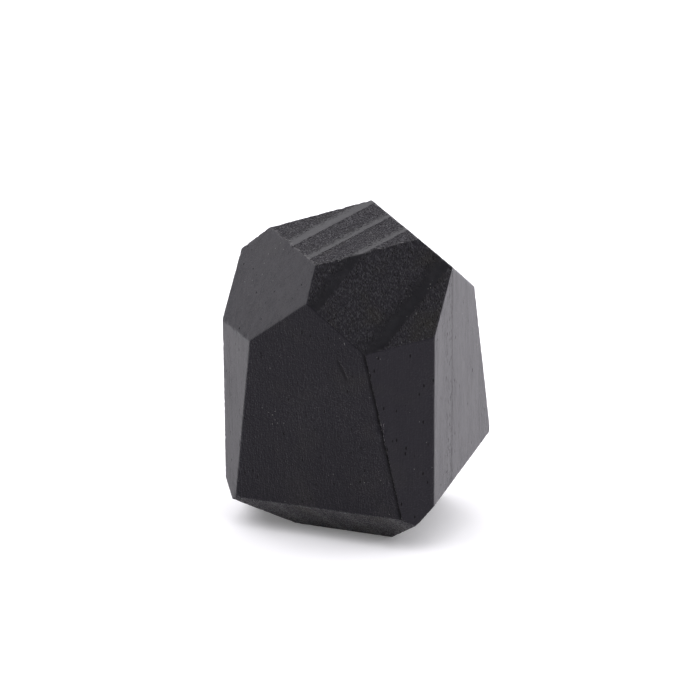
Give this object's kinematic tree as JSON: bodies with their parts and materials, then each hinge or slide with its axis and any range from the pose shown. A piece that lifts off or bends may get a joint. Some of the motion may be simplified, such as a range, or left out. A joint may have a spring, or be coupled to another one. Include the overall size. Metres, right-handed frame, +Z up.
{
  "type": "faceted wood block",
  "caption": "Irregular faceted block of black-stained ring-porous hardwood with upright grain, resting on a small flat base.",
  "frame": {"origin": "centre of the bounding box at floor level, where the flat base rests", "axes": "+Z up along the grain, -Y towards the viewer in the pictured pose, +X to the viewer's right"},
  "size_m": [0.048, 0.04, 0.0595],
  "materials": {
    "earlywood": "porous matt black stain",
    "latewood": "dense satin black stain"
  },
  "bodies": {
    "root": {"ring_1_earlywood": "earlywood", "ring_2_latewood": "latewood", "ring_2_earlywood": "earlywood", "ring_3_latewood": "latewood", "ring_3_earlywood": "earlywood", "ring_4_latewood": "latewood", "ring_4_earlywood": "earlywood", "ring_5_latewood": "latewood", "ring_5_earlywood": "earlywood", "ring_6_latewood": "latewood", "ring_6_earlywood": "earlywood", "ring_7_latewood": "latewood", "ring_7_earlywood": "earlywood"}
  },
  "joints": []
}
